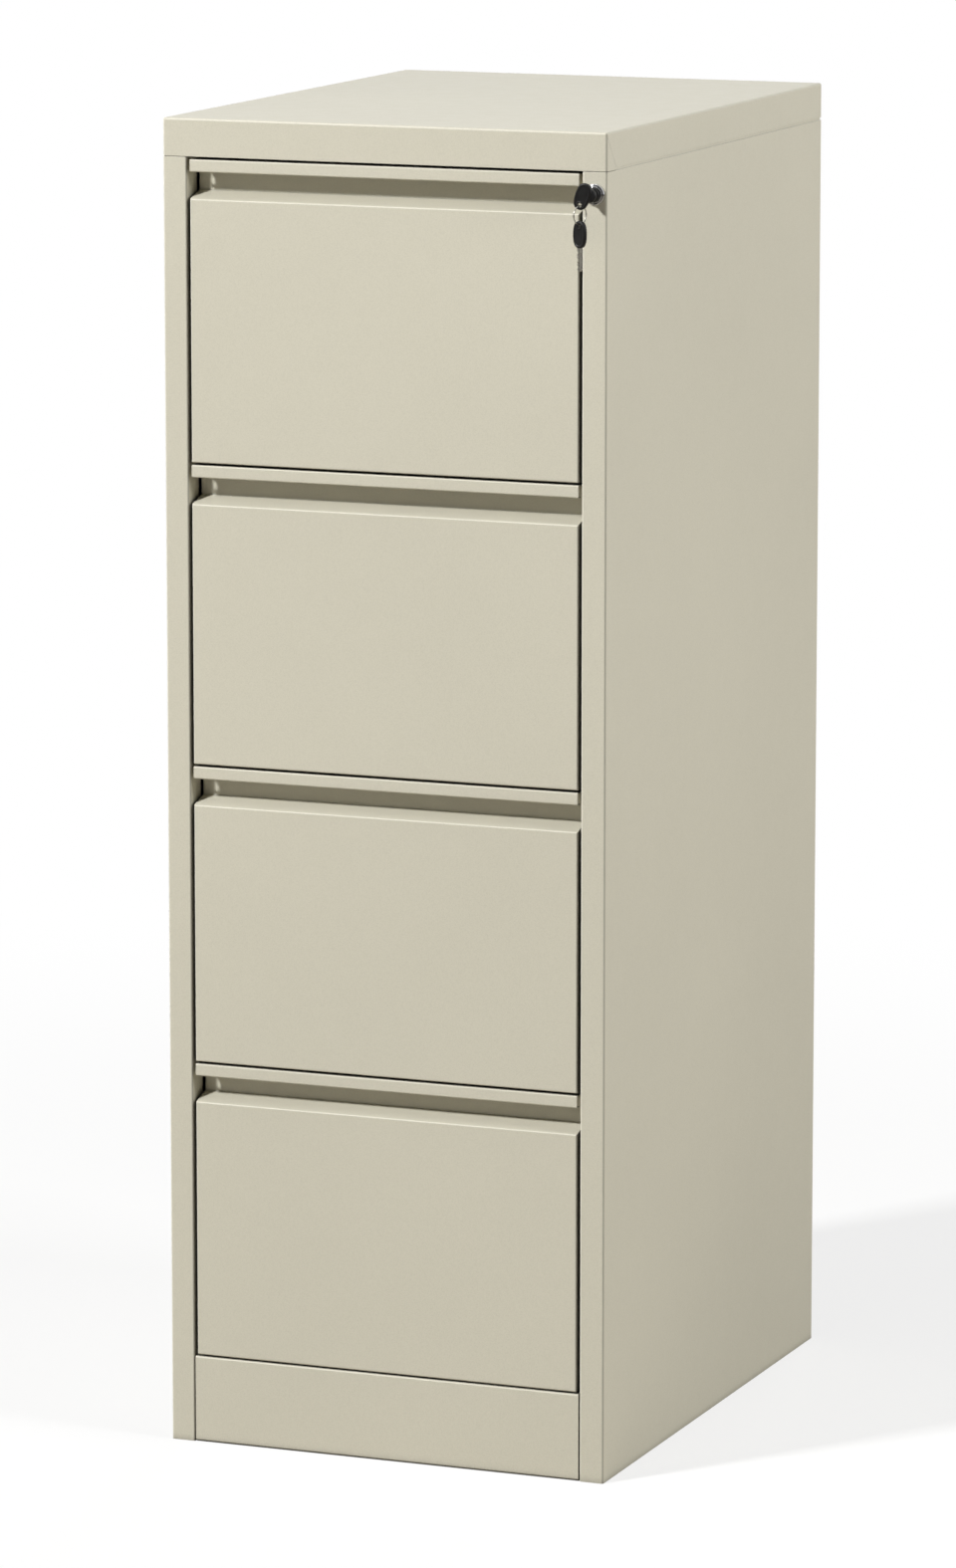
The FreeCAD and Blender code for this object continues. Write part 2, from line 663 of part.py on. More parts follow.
def lock_barrel():
    """Round housing with a proud ring, through the hole in the right post."""
    ring = rod(LOCK_X, RING_FRONT_Y, LOCK_Z, RING_RADIUS, RING_HEIGHT)
    ring = ring.makeFillet(RING_EDGE, edges_where(ring, lambda b: near(b.YMax, RING_FRONT_Y)))
    body = ring.fuse(rod(LOCK_X, FRONT_Y, LOCK_Z, BARREL_RADIUS, BARREL_LENGTH))
    length = RING_HEIGHT + BARREL_LENGTH
    return one_solid(body.cut(rod(LOCK_X, RING_FRONT_Y, LOCK_Z, PLUG_RADIUS + PLUG_PLAY, length)))


def lock_nut():
    corners = []
    for i in range(NUT_FLATS + 1):
        angle = math.radians(360.0 * (i + 0.5) / NUT_FLATS)
        corners.append(V(LOCK_X + NUT_RADIUS * math.cos(angle), FRONT_Y + SHEET,
                         LOCK_Z + NUT_RADIUS * math.sin(angle)))
    nut = Part.Face(Part.makePolygon(corners)).extrude(V(0, NUT_HEIGHT, 0))
    return nut.cut(rod(LOCK_X, FRONT_Y, LOCK_Z, BARREL_RADIUS + PLUG_PLAY, BARREL_LENGTH))


def lock_plug():
    """Turning plug with a blind keyway and a threaded hole for the crank's screw."""
    plug = rod(LOCK_X, PLUG_FRONT_Y, LOCK_Z, PLUG_RADIUS, PLUG_BACK_Y - PLUG_FRONT_Y)
    half_w = BLADE_SHEET / 2 + BLADE_PLAY
    half_h = BLADE_WIDTH / 2 + BLADE_PLAY
    keyway = block(LOCK_X - half_w, LOCK_X + half_w, PLUG_FRONT_Y - SHEET,
                   PLUG_FRONT_Y + BLADE_IN_PLUG + BLADE_PLAY, LOCK_Z - half_h, LOCK_Z + half_h)
    plug = plug.cut(keyway)
    return one_solid(plug.cut(crank_screw()))


def crank_pin_place():
    angle = math.radians(CRANK_REST_ANGLE)
    return LOCK_X + CRANK_RADIUS * math.cos(angle), LOCK_Z + CRANK_RADIUS * math.sin(angle)


def lock_crank():
    """Arm on the plug's tail, with the pin that lifts the lock bar."""
    hub = rod(LOCK_X, PLUG_BACK_Y, LOCK_Z, CRANK_HUB, CRANK_SHEET)
    end = rod(LOCK_X + CRANK_RADIUS, PLUG_BACK_Y, LOCK_Z, CRANK_END, CRANK_SHEET)
    web = block(LOCK_X, LOCK_X + CRANK_RADIUS, PLUG_BACK_Y, CRANK_BACK_Y,
                LOCK_Z - CRANK_END, LOCK_Z + CRANK_END)
    arm = hub.fuse([end, web])
    pin = rod(LOCK_X + CRANK_RADIUS, CRANK_BACK_Y, LOCK_Z, CRANK_PIN_RADIUS,
              BAR_BACK_Y + BAR_BACK_STEP - CRANK_BACK_Y)
    arm = arm.fuse(pin)
    arm.rotate(V(LOCK_X, 0, LOCK_Z), V(0, -1, 0), CRANK_REST_ANGLE)
    return one_solid(arm.cut(crank_screw()))


def crank_screw():
    head = rod(LOCK_X, CRANK_BACK_Y, LOCK_Z, CRANK_SCREW_HEAD, CRANK_SCREW_HEAD_HEIGHT)
    shank = rod(LOCK_X, CRANK_BACK_Y - CRANK_SCREW_LENGTH - CRANK_SHEET, LOCK_Z, CRANK_SCREW_RADIUS,
                CRANK_SCREW_LENGTH + CRANK_SHEET)
    return one_solid(head.fuse(shank))


def tab_top(number):
    """Top of a tab when the bar is down."""
    return drawer_bottom(number) + CATCH_RISE - BAR_TAB_DROP


def lock_bar():
    """Vertical strip behind the right post. Its fork takes the crank's pin."""
    pin_z = crank_pin_place()[1]
    bottom = tab_top(DRAWERS) - 2 * BAR_TAB_HEIGHT
    bar = block(BAR_LEFT, BAR_RIGHT, BAR_FRONT_Y, BAR_BACK_Y, bottom, pin_z + BAR_TOP)
    notch = CRANK_PIN_RADIUS + BAR_NOTCH_PLAY
    return one_solid(bar.cut(block(BAR_RIGHT - BAR_NOTCH_DEPTH, BAR_RIGHT + SHEET, BAR_FRONT_Y - SHEET,
                                   BAR_BACK_Y + SHEET, pin_z - notch, pin_z + notch)))


def lock_bar_tabs():
    """Short tabs welded to the bar's edge, one to stop each drawer."""
    tabs = []
    for number in range(1, DRAWERS + 1):
        top = tab_top(number)
        tabs.append(block(OPENING_X - BAR_TAB_REACH, BAR_LEFT, BAR_FRONT_Y, BAR_BACK_Y,
                          top - BAR_TAB_HEIGHT, top))
    return Part.makeCompound(tabs)


def lock_bar_guides():
    """Plastic blocks on the side panel that the bar slides through, clear of the tabs when it is up."""
    guides = []
    front = BAR_FRONT_Y - GUIDE_PLAY - GUIDE_WALL / 2
    back = BAR_BACK_Y + GUIDE_PLAY + GUIDE_WALL
    left = OPENING_X + SHEET + GUIDE_PLAY
    for number in range(1, DRAWERS + 1):
        low = tab_top(number) + BAR_LIFT + GUIDE_TAB_GAP
        guide = block(left, SIDE_IN, front, back, low, low + GUIDE_HEIGHT)
        slot = block(BAR_LEFT - GUIDE_PLAY, BAR_RIGHT + GUIDE_PLAY, BAR_FRONT_Y - GUIDE_PLAY,
                     BAR_BACK_Y + GUIDE_PLAY, low - SHEET, low + GUIDE_HEIGHT + SHEET)
        guides.append(one_solid(guide.cut(slot)))
    return Part.makeCompound(guides)


def blade(tip_end):
    """Key blade along +Y, from its root inside the bow to its tip, at the origin."""
    half = BLADE_WIDTH / 2
    bar = block(-BLADE_SHEET / 2, BLADE_SHEET / 2, -BLADE_ROOT, tip_end, -half, half)
    for i in range(BLADE_CUTS):
        y = tip_end * (i + 1) / (BLADE_CUTS + 1)
        notch = Part.makeBox(
            BLADE_SHEET * 2, BLADE_NOTCH, BLADE_NOTCH, V(-BLADE_SHEET, 0, -BLADE_NOTCH / 2))
        notch.rotate(V(0, 0, 0), V(1, 0, 0), BLADE_NOTCH_TURN)
        notch.translate(V(0, y, -half + BLADE_NOTCH * (i % 2) / 2))
        bar = bar.cut(notch)
    tip = prism_yz([(tip_end - half, half), (tip_end, 0.0), (tip_end, half)], -BLADE_SHEET, BLADE_SHEET)
    return one_solid(bar.cut(tip))


def bow():
    """Oval plastic grip in the XZ plane, centred on the origin, its hole for the ring near the low end."""
    oval = Part.Ellipse(V(0, 0, 0), BOW_LENGTH / 2, BOW_WIDTH / 2).toShape()
    grip = Part.Face(Part.Wire([oval])).extrude(V(0, 0, BOW_SHEET))
    grip.translate(V(0, 0, -BOW_SHEET / 2))
    grip = grip.makeFillet(BOW_EDGE, [e for e in grip.Edges if near(e.BoundBox.ZLength, 0.0)])
    grip = grip.cut(rod(-BOW_HOLE_OFFSET, 0, -BOW_SHEET, BOW_HOLE_RADIUS, 2 * BOW_SHEET, V(0, 0, 1)))
    grip.rotate(V(0, 0, 0), V(0, 1, 0), -90)
    grip.rotate(V(0, 0, 0), V(0, 0, 1), 90)
    return grip


def key_blade():
    inserted = blade(BLADE_IN_PLUG)
    inserted.translate(V(LOCK_X, PLUG_FRONT_Y, LOCK_Z))
    return inserted


def key_bow():
    """Folding grip: a round neck on the lock's axis and the oval bow turned down beside it."""
    grip = bow()
    grip.rotate(V(0, 0, 0), V(0, 1, 0), BOW_LEAN)
    grip.translate(V(BOW_X, BOW_Y, BOW_Z))
    neck = rod(LOCK_X, FRONT_Y - NECK_END - SHEET, LOCK_Z, NECK_RADIUS, NECK_END - NECK_START + SHEET)
    return one_solid(grip.fuse(neck).cut(key_blade()))


def key_ring():
    loop = Part.makeTorus(RING_LOOP_RADIUS, RING_WIRE_RADIUS, V(0, 0, 0), V(1, 0, 0))
    loop.rotate(V(0, 0, 0), V(0, 0, 1), -RING_TURN)
    loop.translate(V(HOLE_X, BOW_Y, WIRE_TOP_Z - RING_LOOP_RADIUS))
    return loop


def hang_spare(shape):
    """Put a piece of the spare key, drawn around its bow's centre, on the ring's lowest point."""
    shape.rotate(V(0, 0, 0), V(0, 0, 1), -RING_TURN)
    shape.translate(V(HOLE_X, BOW_Y, SPARE_HOLE_Z - BOW_HOLE_OFFSET))
    return shape


def spare_blade_at_origin():
    spare = blade(BLADE_LENGTH)
    spare.rotate(V(0, 0, 0), V(0, 1, 0), 90)
    spare.rotate(V(0, 0, 0), V(1, 0, 0), -90)
    spare.translate(V(0, 0, -BOW_LENGTH / 2))
    return spare


def spare_key_blade():
    return hang_spare(spare_blade_at_origin())


def spare_key_bow():
    grip = bow()
    grip.rotate(V(0, 0, 0), V(0, 1, 0), 180)
    return hang_spare(one_solid(grip.cut(spare_blade_at_origin())))


def all_nodes():
    right_uprights = uprights()
    nodes = {
        "top_cover": top_cover(),
        "top_front_rail": top_front_rail(),
        "left_side_panel": left_side_panel(),
        "right_side_panel": right_side_panel(),
        "back_panel": back_panel(),
        "base_pan": base_pan(),
        "plinth": plinth(),
        "left_uprights": mirrored(right_uprights),
        "right_uprights": right_uprights,
        "panel_screws": panel_screws(),
        "runner_buffers": runner_buffers(),
        "lock_barrel": lock_barrel(),
        "lock_nut": lock_nut(),
        "lock_plug": lock_plug(),
        "lock_crank": lock_crank(),
        "crank_screw": crank_screw(),
        "lock_bar": lock_bar(),
        "lock_bar_tabs": lock_bar_tabs(),
        "lock_bar_guides": lock_bar_guides(),
        "key_blade": key_blade(),
        "key_bow": key_bow(),
        "key_ring": key_ring(),
        "spare_key_blade": spare_key_blade(),
        "spare_key_bow": spare_key_bow(),
    }
    for number in range(1, DRAWERS + 1):
        nodes[f"drawer_{number}_front"] = drawer_front(number)
        nodes[f"drawer_{number}_inner_panel"] = drawer_inner_panel(number)
        nodes[f"drawer_{number}_tray"] = drawer_tray(number)
        nodes[f"drawer_{number}_back"] = drawer_back(number)
        nodes[f"drawer_{number}_catch"] = drawer_catch(number)
        nodes[f"drawer_{number}_screws"] = drawer_screws(number)
        nodes[f"runner_{number}_outer"] = runner_outer(number)
        nodes[f"runner_{number}_middle"] = runner_middle(number)
        nodes[f"runner_{number}_inner"] = runner_inner(number)
    return nodes


os.makedirs("parts", exist_ok=True)
for name, shape in all_nodes().items():
    shape.exportStep(f"parts/{name}.step")
    print(name, len(shape.Solids), "solids", round(shape.Volume / 1000, 2), "cm3", shape.isValid())
print("height", HEIGHT, "bar lift", round(BAR_LIFT, 3))
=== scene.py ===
"""Dresses the four-drawer steel filing cabinet: materials, moulded and wire pieces, light and camera."""
import json
import math

import bmesh
import bpy
from mathutils import Matrix, Vector

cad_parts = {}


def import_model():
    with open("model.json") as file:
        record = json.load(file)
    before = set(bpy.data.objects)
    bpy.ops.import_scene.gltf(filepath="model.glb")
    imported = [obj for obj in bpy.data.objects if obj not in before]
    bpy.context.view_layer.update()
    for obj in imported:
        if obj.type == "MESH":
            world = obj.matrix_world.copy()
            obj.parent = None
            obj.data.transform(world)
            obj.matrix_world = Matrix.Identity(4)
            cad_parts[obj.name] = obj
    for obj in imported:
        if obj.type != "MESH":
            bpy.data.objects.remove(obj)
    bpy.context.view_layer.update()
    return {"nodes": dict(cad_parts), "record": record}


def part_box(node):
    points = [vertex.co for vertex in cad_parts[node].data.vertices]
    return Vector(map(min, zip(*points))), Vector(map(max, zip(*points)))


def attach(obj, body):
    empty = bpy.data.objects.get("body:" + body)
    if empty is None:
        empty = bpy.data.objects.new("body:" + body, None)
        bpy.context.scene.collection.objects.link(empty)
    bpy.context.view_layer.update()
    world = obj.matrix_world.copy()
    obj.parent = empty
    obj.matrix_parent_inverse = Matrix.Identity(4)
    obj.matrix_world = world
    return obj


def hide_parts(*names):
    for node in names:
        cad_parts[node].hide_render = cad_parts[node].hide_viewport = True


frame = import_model()

MM = 0.001

# Camera, fitted to the body's corners in the photograph: its height and focal length in pixels, the sensor
# in millimetres, the place in metres and the angles in degrees
PHOTO_TALL = 1575
FOCAL_PX = 7457.9
SENSOR = 36.0
CAMERA_PLACE = (2.7133, -6.8784, 1.9413)
CAMERA_DOWN = 10.07
CAMERA_TURN = 21.706

# Colours in sRGB, 0 to 255
PAINT = (213, 209, 192)
# PAINTED_HIGHLIGHT is a painted highlight on the coat's sharp edges and left-facing bends.
PAINTED_HIGHLIGHT = (243, 240, 226)
ZINC = (190, 192, 190)
CHROME = (205, 205, 206)
NICKEL = (186, 184, 176)
BLACK_PLASTIC = (11, 11, 12)
RUBBER = (30, 30, 30)
NYLON = (216, 213, 203)

# Most of a noise's values lie between these two.
NOISE_LOW = 0.3
NOISE_HIGH = 0.7

# Powder coat: speckle as (noise value, colour), edges and gaps in metres. Edges and left-facing bends get
# a painted highlight, right-facing bends and narrow gaps get painted shade. EDGE_HIGHLIGHT_TURN,
# BEND_LIGHT_AND_SHADE_TURN and
# CREVICE_OPEN are where the painted edge highlight, the painted bend light and shade, and the open
# tone free of painted gap shade start and are complete.
SPECKLE = ((0.25, (246, 246, 245)), (0.6, (255, 255, 255)))
EDGE_ROUND = 0.0009
EDGE_HIGHLIGHT_SHARE = 0.7
EDGE_HIGHLIGHT_TURN = (0.97, 0.8)
# PAINTED_BEND_SHADE is a painted shade on bends that turn to the right, away from the key lamp.
PAINTED_BEND_SHADE = 0.8
BEND_LIGHT_AND_SHADE_TURN = (0.15, 0.4)
CREVICE_SHADE_REACH = 0.014
PAINTED_CREVICE_SHADE = 0.12
CREVICE_OPEN = (0.1, 0.7)

# Meshes: points closer than WELD metres are joined, and an edge is sharp from these angles in degrees on.
# A turned piece has this many segments, and this least radius in millimetres where its profile ends in 0.
WELD = 1e-7
SHARP_ANGLE = 40.0
TURNED_SHARP_ANGLE = 50.0
TURNED_SEGMENTS = 96
TURNED_LEAST_RADIUS = 0.001

# Key blades, in millimetres. TIP_REACH is the tip's length as a share of half the width, and TIP_SLOPE is
# how much each edge draws in along it.
BLADE_WIDTH = 6.0
BLADE_SHEET = 2.0
BLADE_ROOT = 5.0
BLADE_LENGTH = 22.0
BLADE_IN_PLUG = 17.5
BLADE_EDGE = 0.15
BLADE_STEP = 0.2
GROOVE_LOW = -0.3
GROOVE_WIDTH = 1.7
GROOVE_DEPTH = 0.45
TOOTH_PITCH = 3.4
TOOTH_FLAT = 0.8
TOOTH_CUTS = (1.4, 0.5, 1.9, 0.9, 1.6)
SHOULDER = 2.6
TIP_REACH = 0.8
TIP_SLOPE = 0.9

# Key bows, in millimetres and degrees
BOW_LENGTH = 26.0
BOW_WIDTH = 15.0
BOW_SHEET = 4.5
BOW_SQUARENESS = 2.5
BOW_EDGE = 1.4
BOW_HOLE_RADIUS = 2.2
BOW_HOLE_OFFSET = 8.5
BOW_HOLE_EDGE = 0.35
BOW_RIM = 2.1
BOW_RECESS = 0.45
BOW_EYELET = 1.1
BOW_STEP = 0.5
BOW_LEAN = 18.0
BOW_SIDE_SHIFT = 4.7
BOW_RISE = -0.3
BOW_RAYS = 144
RAY_STEPS = 56
REACH_HALVINGS = 40

# Neck of the key in the lock, turned: (distance in front of the post, radius)
NECK_PROFILE = ((4.0, 0.0), (4.0, 6.3), (4.3, 6.8), (4.8, 6.9), (8.4, 6.9), (8.9, 6.7), (9.1, 6.2),
                (9.1, 5.4), (10.9, 5.4), (10.9, 5.9), (11.1, 6.4), (11.6, 6.6), (16.6, 6.6), (17.4, 6.2),
                (17.8, 5.3), (18.0, 4.0), (18.0, 0.0))

# Pin between neck and bow, wire ring and spare key, in millimetres and degrees. PIVOT_RIGHT is the pin's
# distance from the lock's axis, PIVOT_BACK from the middle of the bow's sheet.
PIVOT_RADIUS = 1.0
PIVOT_LENGTH = 5.2
PIVOT_CHAMFER = 0.3
PIVOT_RIGHT = 2.6
PIVOT_BACK = 4.4
PIVOT_SEGMENTS = 24
WIRE_RADIUS = 0.6
WIRE_SEGMENTS = 20
RING_TURN = 20.0
RING_SEGMENTS = 160
SPARE_HANG = 0.9

# Lock housing, in millimetres: its front from the seat on the post over two polished rims to the plug's
# bore, as (distance in front of the post, radius), and the threaded body behind the post
HOUSING_FRONT = ((0.0, 10.2), (1.5, 10.2), (2.1, 10.05), (2.55, 9.7), (2.75, 9.2), (2.6, 8.8), (2.0, 8.55),
                 (1.8, 8.3), (1.8, 8.1), (2.1, 7.95), (2.7, 7.85), (2.95, 7.6), (3.0, 7.25), (2.85, 6.9),
                 (2.3, 6.6), (2.2, 6.4), (2.2, 6.05))
BARREL_RADIUS = 8.0
THREAD_START = 1.0
THREAD_PITCH = 1.0
THREAD_DEPTH = 0.55
THREAD_STEPS = 8

# Floor: the colour that the camera sees and the one that lights the cabinet from below. FLOOR_GLOW is the
# share of the backdrop's white near the cabinet. It rises to 1 between FLOOR_FADE's distances in metres.
FLOOR_RADIUS = 30.0
FLOOR_SEGMENTS = 96
FLOOR_SEEN = (246, 246, 245)
FLOOR_BOUNCE = (163, 157, 146)
FLOOR_GLOW = 0.72
FLOOR_FADE = (0.8, 2.6)

# Surroundings: even light, the white backdrop, and the dark part of the studio that mirrors show to the
# front. Going by the direction's Y, it is complete up to STUDIO_FRONT's first value and ends at its second.
AMBIENT = 0.05
BACKDROP = 1.0
STUDIO_DARK = 0.22
STUDIO_FRONT = (-0.75, -0.35)

# Lamps, fitted to the photograph's shading, in degrees, metres and watts. They face LAMP_TARGET, and azimuth
# and elevation are seen from there: 0 is the cabinet's front, 90 its right. DULL_LAMPS give no reflections.
LAMPS = {
    "key": {"azimuth": -35, "elevation": 36, "distance": 9.0, "size": 0.8, "power": 806.0},
    "fill_right": {"azimuth": 85, "elevation": 20, "distance": 6.0, "size": 1.6, "power": 230.0},
    "top": {"azimuth": -30, "elevation": 82, "distance": 6.0, "size": 2.0, "power": 34.0},
    "back": {"azimuth": 180, "elevation": 6, "distance": 6.0, "size": 2.0, "power": 130.0},
}
DULL_LAMPS = ("back", "fill_right")
LAMP_TARGET = (0.0, -0.1, 0.75)


def linear(rgb):
    """sRGB 0 to 255 as a linear colour with alpha."""
    values = [c / 255 for c in rgb]
    return [c / 12.92 if c <= 0.04045 else ((c + 0.055) / 1.055) ** 2.4 for c in values] + [1.0]


def scaled(rgb, factor):
    """The colour made brighter or darker."""
    return [min(255.0, c * factor) for c in rgb]


class Tree:
    """The nodes of a material or of the world, with short calls for what is used often."""

    def __init__(self, owner):
        owner.use_nodes = True
        self.nodes, self.links = owner.node_tree.nodes, owner.node_tree.links

    def add(self, kind, **settings):
        node = self.nodes.new(kind)
        for key, value in settings.items():
            setattr(node, key, value)
        return node

    def link(self, source, target):
        self.links.new(source, target)

    def mapped(self, source, start, end, low, high, interpolation="LINEAR"):
        """Low up to start, high from end on."""
        node = self.add("ShaderNodeMapRange", interpolation_type=interpolation)
        for name, value in (("From Min", start), ("From Max", end), ("To Min", low), ("To Max", high)):
            node.inputs[name].default_value = value
        self.link(source, node.inputs["Value"])
        return node.outputs["Result"]

    def shader_mix(self, share, first, second):
        node = self.add("ShaderNodeMixShader")
        for i, source in enumerate((share, first, second)):
            self.link(source, node.inputs[i])
        return node.outputs[0]


class Finish(Tree):
    """A material with its shader and the steps that the finishes share. Sizes and depths are in metres."""

    def __init__(self, name):
        self.material = bpy.data.materials.new(name)
        super().__init__(self.material)
        self.shader = self.nodes["Principled BSDF"]
        self.place = self.add("ShaderNodeTexCoord").outputs["Object"]

    def set(self, **values):
        for key, value in values.items():
            self.shader.inputs[key.replace("_", " ")].default_value = value

    def connect(self, **sources):
        for key, source in sources.items():
            self.link(source, self.shader.inputs[key.replace("_", " ")])

    def stretched(self, stretch):
        """Object coordinates with each axis scaled, for brushed and drawn surfaces."""
        mapping = self.add("ShaderNodeMapping")
        mapping.inputs["Scale"].default_value = stretch
        self.link(self.place, mapping.inputs["Vector"])
        return mapping.outputs["Vector"]

    def noise(self, size, detail, place=None):
        """Noise whose features are about size across."""
        node = self.add("ShaderNodeTexNoise")
        node.inputs["Scale"].default_value = 1.0 / size
        node.inputs["Detail"].default_value = detail
        self.link(place or self.place, node.inputs["Vector"])
        return node.outputs["Fac"]

    def colours(self, source, stops):
        """Colour ramp between two stops of (value, sRGB)."""
        ramp = self.add("ShaderNodeValToRGB")
        for element, (position, rgb) in zip(ramp.color_ramp.elements, stops):
            element.position = position
            element.color = linear(rgb)
        self.link(source, ramp.inputs["Fac"])
        return ramp.outputs["Color"]

    def mottled(self, rgb, size, detail, low, high):
        """The colour, varied from low to high times its value in patches of the given size."""
        stops = ((NOISE_LOW, scaled(rgb, low)), (NOISE_HIGH, scaled(rgb, high)))
        return self.colours(self.noise(size, detail), stops)

    def between(self, source, low, high):
        """The middle of a noise's range mapped to low and high."""
        return self.mapped(source, NOISE_LOW, NOISE_HIGH, low, high)

    def multiplied(self, first, second):
        node = self.add("ShaderNodeMix", data_type="RGBA", blend_type="MULTIPLY")
        node.inputs[0].default_value = 1.0
        self.link(first, node.inputs[6])
        self.link(second, node.inputs[7])
        return node.outputs[2]

    def tinted(self, coat, share, rgb):
        node = self.add("ShaderNodeMix", data_type="RGBA")
        self.link(share, node.inputs[0])
        self.link(coat, node.inputs[6])
        node.inputs[7].default_value = linear(rgb)
        return node.outputs[2]

    def bump(self, height, depth, below=None):
        node = self.add("ShaderNodeBump")
        node.inputs["Distance"].default_value = depth
        self.link(height, node.inputs["Height"])
        if below:
            self.link(below, node.inputs["Normal"])
        return node.outputs["Normal"]

    def soft_edges(self, radius):
        """Normal that is rounded over at sharp edges, as a coat of paint rounds them."""
        node = self.add("ShaderNodeBevel", samples=4)
        node.inputs["Radius"].default_value = radius
        return node.outputs["Normal"]

    def edge_highlight_share(self, rounded, most):
        """Share of the painted edge highlight: 0 on flat faces, rising to most where the rounded normal
        leaves the true one.
        """
        turn = self.add("ShaderNodeVectorMath", operation="DOT_PRODUCT")
        self.link(rounded, turn.inputs[0])
        self.link(self.add("ShaderNodeNewGeometry").outputs["True Normal"], turn.inputs[1])
        return self.mapped(turn.outputs["Value"], *EDGE_HIGHLIGHT_TURN, 0.0, most)

    def bend_light_and_shade(self, side, most):
        """Mask for painted light and shade on upright bends: 0 on flat faces, rising to most on bends from
        the front to the left side, -1, or the right, 1.
        """
        normal = self.add("ShaderNodeSeparateXYZ")
        self.link(self.add("ShaderNodeNewGeometry").outputs["Normal"], normal.inputs[0])
        turn = self.add("ShaderNodeMath", operation="MULTIPLY")
        self.link(normal.outputs["X"], turn.inputs[0])
        self.link(normal.outputs["Y"], turn.inputs[1])
        return self.mapped(turn.outputs["Value"], *(-side * value for value in BEND_LIGHT_AND_SHADE_TURN), 0.0, most)

    def painted_crevice_shade(self, reach, darkest):
        """Painted shade: grey that is white on open surfaces and falls to darkest in gaps much narrower than
        reach.
        """
        hollow = self.add("ShaderNodeAmbientOcclusion", samples=6)
        hollow.inputs["Distance"].default_value = reach
        return self.mapped(hollow.outputs["AO"], *CREVICE_OPEN, darkest, 1.0)


def powder_coat():
    """Semi-gloss powder coat: orange peel, speckle, faint unevenness, painted highlights and shade at edges,
    bends and gaps.
    """
    finish = Finish("powder_coat")
    coat = finish.multiplied(finish.mottled(PAINT, size=0.35, detail=3.0, low=0.99, high=1.008),
                             finish.colours(finish.noise(size=0.0009, detail=1.0), SPECKLE))
    rounded = finish.soft_edges(EDGE_ROUND)
    # Painted highlight: sharp edges are mixed toward a pale tone, as if the lamps lit them.
    coat = finish.tinted(coat, finish.edge_highlight_share(rounded, EDGE_HIGHLIGHT_SHARE), PAINTED_HIGHLIGHT)
    # Painted highlight on bends that turn to the left, toward the key lamp.
    coat = finish.tinted(coat, finish.bend_light_and_shade(-1, EDGE_HIGHLIGHT_SHARE), PAINTED_HIGHLIGHT)
    # Painted shade on bends that turn to the right, away from the key lamp.
    coat = finish.tinted(coat, finish.bend_light_and_shade(1, 1.0), scaled(PAINT, PAINTED_BEND_SHADE))
    peel = finish.bump(finish.noise(size=0.0028, detail=2.0), depth=0.00004, below=rounded)
    grit = finish.bump(finish.noise(size=0.0007, detail=1.0), depth=0.00001, below=peel)
    # Painted shade: the coat's colour is darkened in narrow gaps and hollows, where little light reaches.
    finish.connect(Base_Color=finish.multiplied(coat, finish.painted_crevice_shade(CREVICE_SHADE_REACH, PAINTED_CREVICE_SHADE)),
                   Roughness=finish.between(finish.noise(size=0.02, detail=3.0), low=0.40, high=0.47),
                   Normal=grit)
    return finish.material


def zinc_plate():
    """Bright zinc plating on cold-rolled strip, with drawing lines along the strip and cloudy patches."""
    finish = Finish("zinc_plate")
    lines = finish.noise(size=0.0006, detail=2.0, place=finish.stretched((1.0, 0.03, 1.0)))
    finish.set(Metallic=1.0)
    finish.connect(Base_Color=finish.mottled(ZINC, size=0.03, detail=4.0, low=0.9, high=1.06),
                   Roughness=finish.between(finish.noise(size=0.012, detail=3.0), low=0.28, high=0.42),
                   Normal=finish.bump(lines, depth=0.00001))
    return finish.material


def chrome_plate():
    """Polished chrome with a faint haze."""
    finish = Finish("chrome_plate")
    finish.set(Metallic=1.0)
    finish.connect(Base_Color=finish.mottled(CHROME, size=0.004, detail=2.0, low=0.96, high=1.0),
                   Roughness=finish.between(finish.noise(size=0.003, detail=3.0), low=0.07, high=0.14),
                   Normal=finish.bump(finish.noise(size=0.0015, detail=2.0), depth=0.000004))
    return finish.material


def nickel_steel():
    """Nickel-plated key steel with fine milling marks."""
    finish = Finish("nickel_steel")
    marks = finish.noise(size=0.00025, detail=2.0, place=finish.stretched((1.0, 1.0, 0.08)))
    finish.set(Metallic=1.0)
    finish.connect(Base_Color=finish.mottled(NICKEL, size=0.003, detail=3.0, low=0.92, high=1.05),
                   Roughness=finish.between(marks, low=0.22, high=0.36),
                   Normal=finish.bump(marks, depth=0.000006))
    return finish.material


def black_plastic():
    """Moulded black plastic with a fine spark-eroded grain and rubbed, glossier patches."""
    finish = Finish("black_plastic")
    finish.set(Specular_IOR_Level=0.35)
    finish.connect(Base_Color=finish.mottled(BLACK_PLASTIC, size=0.004, detail=3.0, low=0.85, high=1.25),
                   Roughness=finish.between(finish.noise(size=0.005, detail=3.0), low=0.34, high=0.5),
                   Normal=finish.bump(finish.noise(size=0.0003, detail=2.0), depth=0.00001))
    return finish.material


def buffer_rubber():
    """Dull black rubber."""
    finish = Finish("buffer_rubber")
    finish.connect(Base_Color=finish.mottled(RUBBER, size=0.002, detail=3.0, low=0.85, high=1.3),
                   Roughness=finish.between(finish.noise(size=0.002, detail=2.0), low=0.7, high=0.9),
                   Normal=finish.bump(finish.noise(size=0.0005, detail=2.0), depth=0.00002))
    return finish.material


